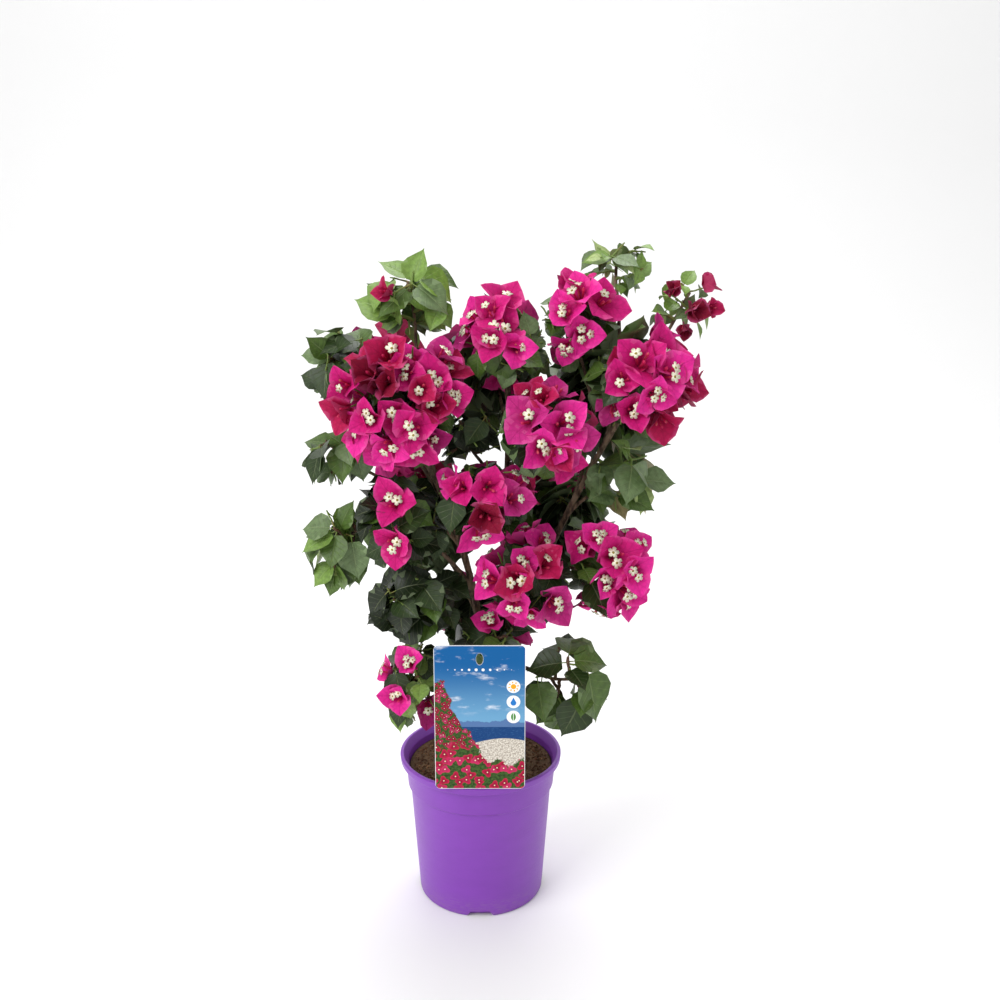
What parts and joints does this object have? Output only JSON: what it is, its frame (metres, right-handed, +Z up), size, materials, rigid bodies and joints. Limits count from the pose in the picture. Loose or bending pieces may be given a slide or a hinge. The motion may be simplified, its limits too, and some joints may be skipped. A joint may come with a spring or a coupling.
{
  "type": "potted bougainvillea",
  "caption": "Upright flowering bougainvillea shrub with magenta bracts and heart-shaped leaves, growing on slender boughs from a tapered nursery pot with a plain picture label.",
  "frame": {"origin": "centre of the pot's flat underside, on the floor the pot stands on", "axes": "+Z up along the pot's axis, -Y towards the front with the label, +X to the right seen from the front"},
  "size_m": [0.4087, 0.2206, 0.6848],
  "materials": {
    "pot_plastic": "satin",
    "potting_soil": "matte",
    "label_card": "gloss",
    "bark": "matte",
    "green_shoot": "satin",
    "foliage": "satin",
    "young_foliage": "satin",
    "bronze_foliage": "satin",
    "blossom": "matte",
    "deep_blossom": "matte",
    "floret": "matte",
    "bud": "satin"
  },
  "bodies": {
    "root": {"bough_back_centre": "bark", "bough_back_foot": "bark", "bough_back_left": "bark", "bough_back_low_left": "bark", "bough_back_low_right": "bark", "bough_back_right": "bark", "bough_centre_core": "bark", "bough_centre_left": "bark", "bough_centre_low": "bark", "bough_centre_mid": "bark", "bough_centre_upper": "bark", "bough_left_foot": "bark", "bough_left_hanging": "bark", "bough_left_low": "bark", "bough_left_mid": "bark", "bough_left_shoulder": "bark", "bough_left_side": "bark", "bough_left_truss": "bark", "bough_left_tuft": "bark", "bough_right_buds": "bark", "bough_right_foot": "bark", "bough_right_low": "bark", "bough_right_mid": "bark", "bough_right_shoot": "bark", "bough_right_top": "bark", "bough_right_truss": "bark", "bough_top_middle": "bark", "foliage_back_centre": "foliage", "foliage_back_foot": "foliage", "foliage_back_left": "foliage", "foliage_back_low_left": "foliage", "foliage_back_low_right": "foliage", "foliage_back_right": "foliage", "foliage_centre_core": "foliage", "foliage_centre_left": "foliage", "foliage_centre_low": "blossom", "foliage_centre_mid": "foliage", "foliage_centre_upper": "blossom", "foliage_left_foot": "foliage", "foliage_left_hanging": "young_foliage", "foliage_left_low": "foliage", "foliage_left_mid": "foliage", "foliage_left_shoulder": "foliage", "foliage_left_side": "foliage", "foliage_left_truss": "blossom", "foliage_left_tuft": "young_foliage", "foliage_right_buds": "foliage", "foliage_right_foot": "foliage", "foliage_right_low": "blossom", "foliage_right_mid": "young_foliage", "foliage_right_shoot": "young_foliage", "foliage_right_top": "blossom", "foliage_right_truss": "blossom", "foliage_top_middle": "blossom", "picture_label": "label_card", "pot": "pot_plastic", "potting_soil": "potting_soil", "trunk": "bark"}
  },
  "joints": []
}
